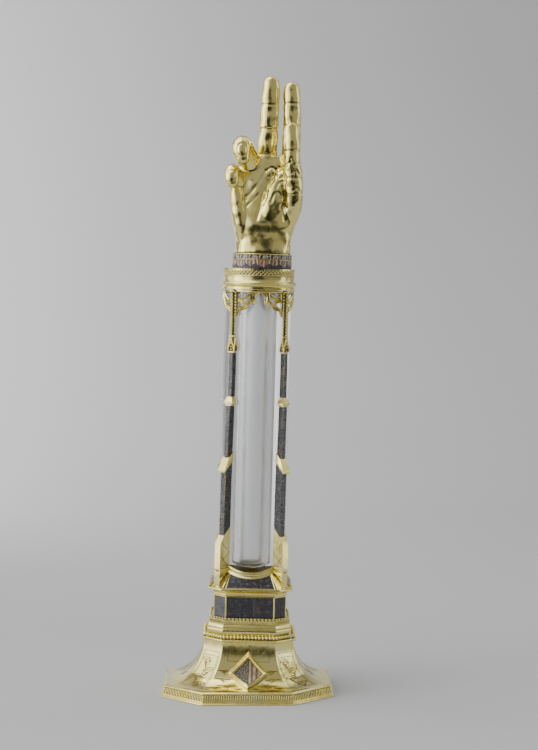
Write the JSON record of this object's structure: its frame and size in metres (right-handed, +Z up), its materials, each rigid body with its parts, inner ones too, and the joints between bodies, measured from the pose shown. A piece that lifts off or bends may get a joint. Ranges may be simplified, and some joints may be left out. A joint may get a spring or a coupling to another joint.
{
  "type": "arm reliquary",
  "caption": "Standing arm reliquary: octagonal gilt foot, enamelled drum, clear crystal tube between slender piers, collar, enamelled cuff and a blessing right hand.",
  "frame": {"origin": "middle of the underside of the foot", "axes": "+Z up, -Y towards the front with the palm and the front lozenge, +X to the viewer's right; the body above the foot leans 1.63 degrees towards +X"},
  "size_m": [0.175, 0.163, 0.6292],
  "materials": {
    "gilt": "polished, worn gilding",
    "dark_enamel": "dull blue-black enamel",
    "striped_enamel": "worn heraldic enamel, cream and red-brown stripes on blue",
    "crystal": "clear polished rock crystal"
  },
  "bodies": {
    "root": {"foot": "gilt", "lozenge_frame_front": "gilt", "lozenge_enamel_front": "striped_enamel", "lozenge_frame_back": "gilt", "lozenge_enamel_back": "striped_enamel", "bead_row": "gilt", "neck_moulding": "gilt", "drum": "gilt", "drum_enamel_1": "dark_enamel", "drum_enamel_2": "dark_enamel", "drum_enamel_3": "dark_enamel", "drum_enamel_4": "dark_enamel", "drum_enamel_5": "dark_enamel", "drum_enamel_6": "dark_enamel", "drum_enamel_7": "dark_enamel", "drum_enamel_8": "dark_enamel", "cornice": "gilt", "shoulder": "gilt", "shoulder_enamel_1": "dark_enamel", "shoulder_enamel_2": "dark_enamel", "shoulder_enamel_3": "dark_enamel", "shoulder_enamel_4": "dark_enamel", "crystal": "crystal", "pier_1": "gilt", "pier_enamel_1_lower": "dark_enamel", "pier_enamel_1_middle": "dark_enamel", "pier_enamel_1_upper": "dark_enamel", "pier_2": "gilt", "pier_enamel_2_lower": "dark_enamel", "pier_enamel_2_middle": "dark_enamel", "pier_enamel_2_upper": "dark_enamel", "pier_3": "gilt", "pier_enamel_3_lower": "dark_enamel", "pier_enamel_3_middle": "dark_enamel", "pier_enamel_3_upper": "dark_enamel", "pier_4": "gilt", "pier_enamel_4_lower": "dark_enamel", "pier_enamel_4_middle": "dark_enamel", "pier_enamel_4_upper": "dark_enamel", "arcade": "gilt", "collar": "gilt", "gallery": "gilt", "cuff": "striped_enamel", "hand": "gilt"}
  },
  "joints": []
}
